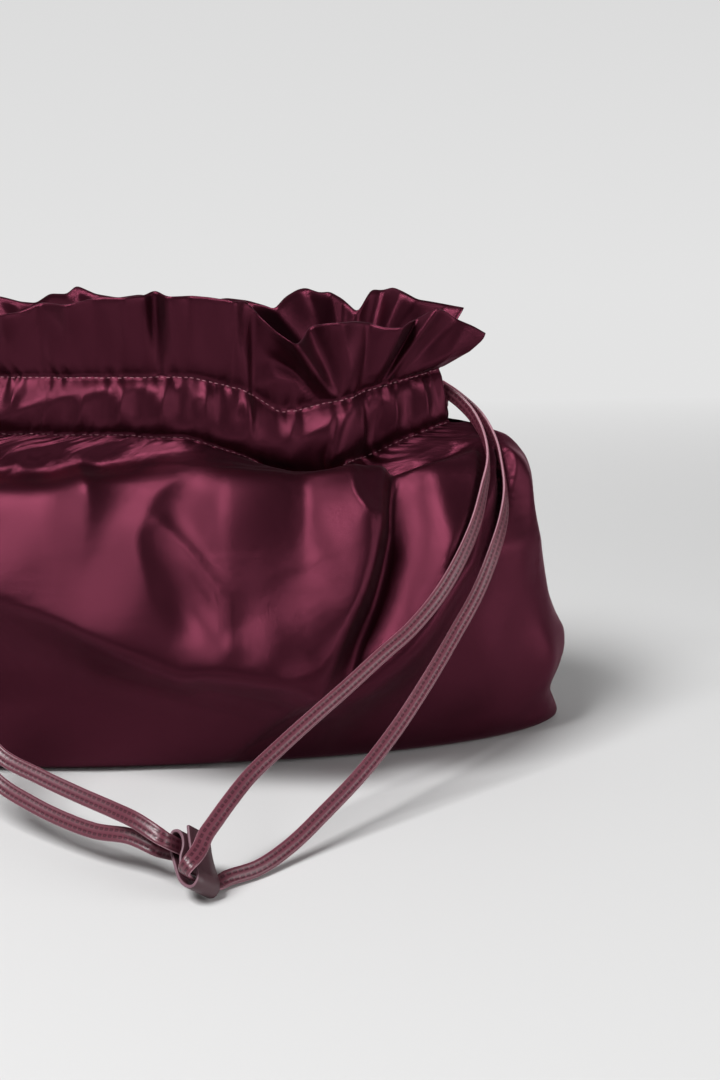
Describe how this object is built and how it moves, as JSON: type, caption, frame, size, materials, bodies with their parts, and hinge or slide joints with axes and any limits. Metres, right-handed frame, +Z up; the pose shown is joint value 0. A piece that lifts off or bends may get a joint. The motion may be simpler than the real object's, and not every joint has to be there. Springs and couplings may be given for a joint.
{
  "type": "kinchaku drawstring pouch",
  "caption": "Soft satin drawstring pouch with a boxed base, a gathered ruffled neck and flat leather straps held by a folded keeper.",
  "frame": {"origin": "under the middle of the base, on the surface that the pouch stands on", "axes": "+X along the pouch to the viewer's right, +Y to the back, away from the keeper, +Z up"},
  "size_m": [0.336, 0.2577, 0.2059],
  "materials": {
    "satin": "satin",
    "lining": "matte",
    "strap_leather": "semi-matt",
    "keeper_leather": "matte"
  },
  "bodies": {
    "root": {"front_panel": "satin", "back_panel": "satin", "front_lining": "lining", "back_lining": "lining", "strap_right": "strap_leather", "strap_left": "strap_leather", "keeper": "keeper_leather"}
  },
  "joints": []
}
